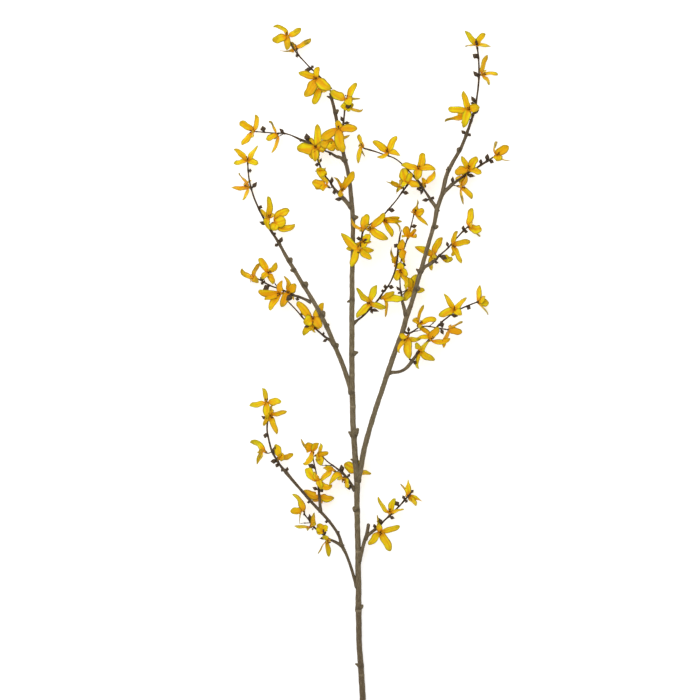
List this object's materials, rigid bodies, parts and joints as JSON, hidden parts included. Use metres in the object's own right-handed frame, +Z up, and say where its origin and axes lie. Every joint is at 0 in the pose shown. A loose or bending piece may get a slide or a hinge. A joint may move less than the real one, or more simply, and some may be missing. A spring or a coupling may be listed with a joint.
{
  "type": "forsythia branch",
  "caption": "A cut forsythia branch lying flat, with forking grey-brown stems, thin dark budded twigs and open yellow flowers of four petals each",
  "frame": {"origin": "the middle of the space the branch takes up, at the height of the surface it lies on", "axes": "+Y runs along the main stem from the cut end to the top, +X to the right with the cut end nearest, +Z up from the surface"},
  "size_m": [0.3504, 0.8511, 0.0455],
  "materials": {
    "bark": "matt grey-brown bark with olive patches and small scars",
    "twig_bark": "matt dark brown bark of young twigs",
    "petals": "soft golden yellow petals, orange at the throat and green-edged at the tips"
  },
  "bodies": {
    "root": {"main_stem": "bark", "left_branch": "bark", "upper_left_twig": "twig_bark", "cross_twig": "twig_bark", "right_branch": "bark", "right_cross_twig": "twig_bark", "right_middle_twig": "twig_bark", "right_low_twig": "twig_bark", "lower_left_twig": "twig_bark", "lower_right_twig": "twig_bark", "flowers_lower_left_tip": "petals", "flowers_lower_left_low": "petals", "flowers_lower_middle_tip": "petals", "flowers_lower_middle": "petals", "flowers_centre": "petals", "flower_fork": "petals", "flowers_lower_side_tip": "petals", "flowers_lower_side_base": "petals", "flower_lower_right_base": "petals", "flower_lower_right_middle": "petals", "flower_lower_right_tip": "petals", "flowers_right_middle_base": "petals", "flower_right_middle": "petals", "flower_right_middle_tip": "petals", "flowers_right_low": "petals", "flower_right_low_middle": "petals", "flower_right_low_tip": "petals", "flower_right_thin_tip": "petals", "flowers_right_thin": "petals", "flower_right_inner_tip": "petals", "flowers_right_inner_upper": "petals", "flowers_right_inner_lower": "petals", "flower_right_inner_base": "petals", "flowers_inner": "petals", "flowers_cross_base": "petals", "flowers_cross_middle": "petals", "flowers_cross_tip": "petals", "flower_right_cross_tip": "petals", "flower_right_cross_middle": "petals", "flowers_right_cross_base": "petals", "flower_left_tip": "petals", "flower_left_upper": "petals", "flowers_left_middle": "petals", "flowers_left_twig_tip": "petals", "flowers_left_twig_base": "petals", "flowers_left_lower_twig": "petals", "flower_upper_left_tip": "petals", "flower_upper_left_middle": "petals", "flowers_inner_left_tip": "petals", "flowers_main_top": "petals", "flowers_inner_left_base": "petals", "flowers_top_tip": "petals", "flowers_top_base": "petals", "flowers_top_side": "petals", "flower_right_tip": "petals", "flower_right_upper": "petals", "flowers_right_upper_base": "petals", "flowers_right_side_middle": "petals", "flower_right_side_base": "petals", "flower_right_side_tip": "petals"}
  },
  "joints": []
}
